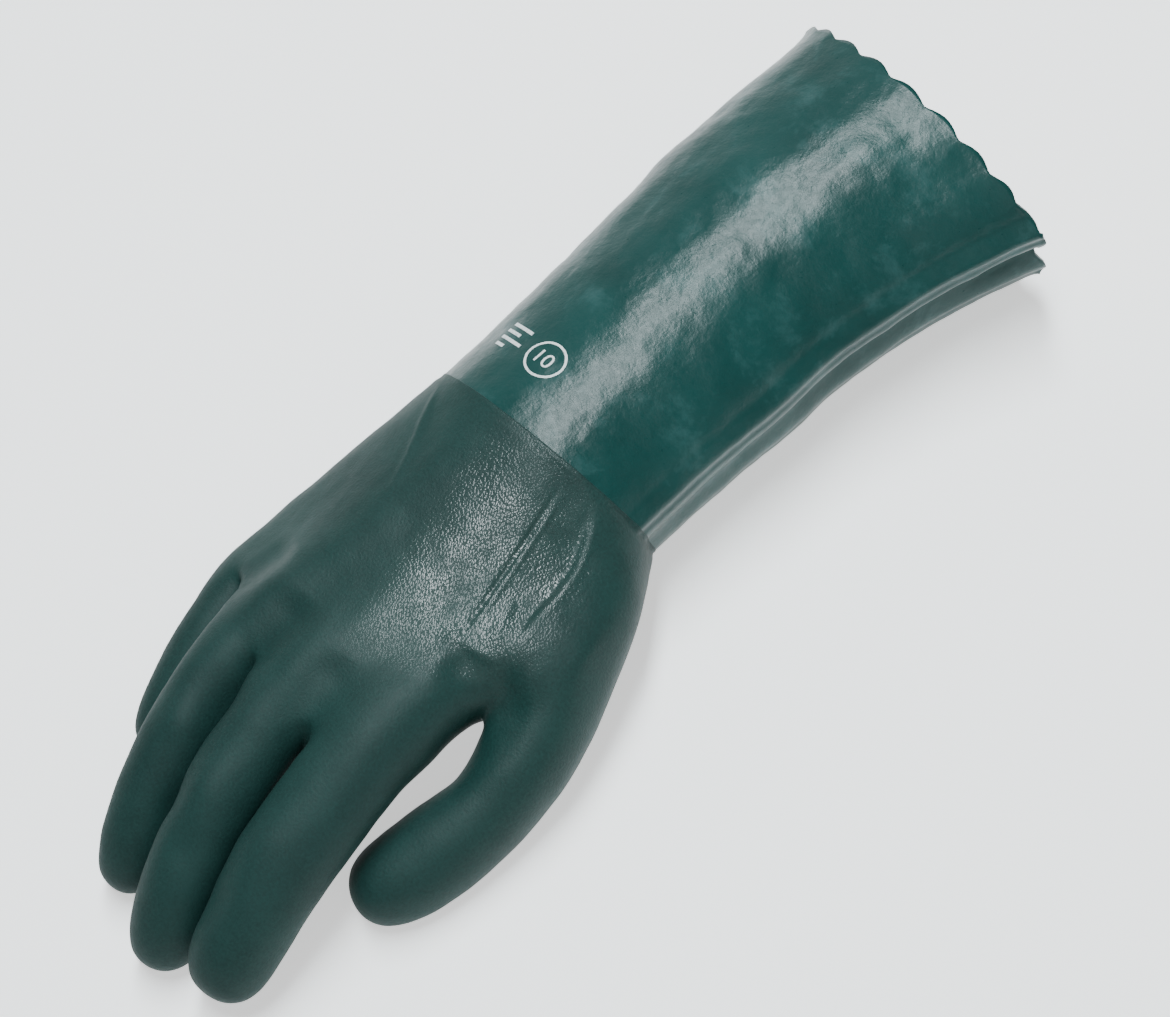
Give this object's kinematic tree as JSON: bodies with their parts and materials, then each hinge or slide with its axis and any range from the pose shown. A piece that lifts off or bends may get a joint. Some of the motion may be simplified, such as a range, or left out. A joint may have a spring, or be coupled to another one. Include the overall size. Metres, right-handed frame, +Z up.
{
  "type": "pvc coated gauntlet work glove",
  "caption": "Right-hand knit-lined gauntlet glove coated in PVC, with a rough second coat on the hand and a flared cuff with a scalloped end.",
  "frame": {"origin": "on the surface the glove lies on, under the middle of its box", "axes": "-Y the way the fingers point, +Y the open end of the cuff, +X the thumb side, +Z up from the surface over the back of the hand"},
  "size_m": [0.1318, 0.3436, 0.0705],
  "materials": {
    "smooth_coat": "smooth glossy mottled PVC coat, dark teal green",
    "rough_coat": "second PVC coat with a sandy granular surface, dark teal green"
  },
  "bodies": {
    "root": {"gauntlet_cuff": "smooth_coat", "hand_body": "rough_coat", "index_finger": "rough_coat", "middle_finger": "rough_coat", "ring_finger": "rough_coat", "little_finger": "rough_coat", "thumb": "rough_coat"}
  },
  "joints": []
}
